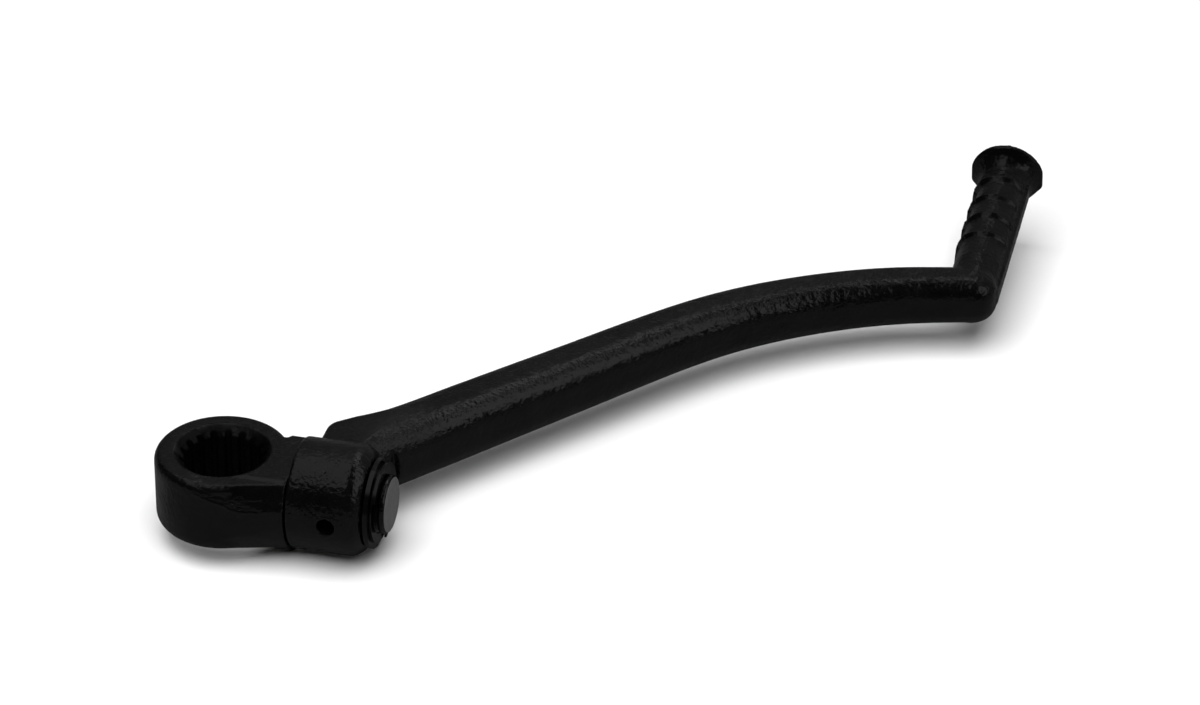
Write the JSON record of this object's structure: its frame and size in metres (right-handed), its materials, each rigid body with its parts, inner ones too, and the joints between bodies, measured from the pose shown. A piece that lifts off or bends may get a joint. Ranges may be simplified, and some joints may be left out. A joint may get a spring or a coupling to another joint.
{
  "type": "kick start lever",
  "caption": "Folding kick start lever: splined hub with a pivot stub, curved forged arm and a ribbed foot peg with an end flange, painted gloss black.",
  "frame": {"origin": "where the kick shaft's axis crosses the folding axis, inside the hub's eye", "axes": "+Z along the kick shaft's axis, outboard; +X along the folding axis, from the eye to the stub's end; +Y towards the arm in the stowed pose"},
  "size_m": [0.176, 0.1897, 0.0292],
  "materials": {
    "hub_paint": "gloss black paint",
    "arm_paint": "gloss black paint",
    "washer_steel": "satin black",
    "spacer_steel": "satin black",
    "ring_steel": "blackened spring steel",
    "ball_steel": "polished bearing steel",
    "spring_steel": "drawn spring wire"
  },
  "bodies": {
    "hub": {"spline_hub": "hub_paint", "thrust_washer": "washer_steel", "spacer_washer": "spacer_steel", "snap_ring": "ring_steel", "detent_spring": "spring_steel"},
    "arm": {"lever_arm": "arm_paint"},
    "detent": {"detent_ball": "ball_steel"}
  },
  "joints": [
    {"name": "arm_fold", "type": "hinge", "parent": "hub", "child": "arm", "pos_m": [0, 0, 0], "axis": [1, 0, 0], "range_deg": [0, 90]},
    {"name": "detent_press", "type": "slide", "parent": "hub", "child": "detent", "axis": [0, 0, 1], "range_m": [0, 0.0006], "stiffness_N_per_m": 2000, "springref_m": -0.001, "deforming": ["detent_spring"]}
  ]
}
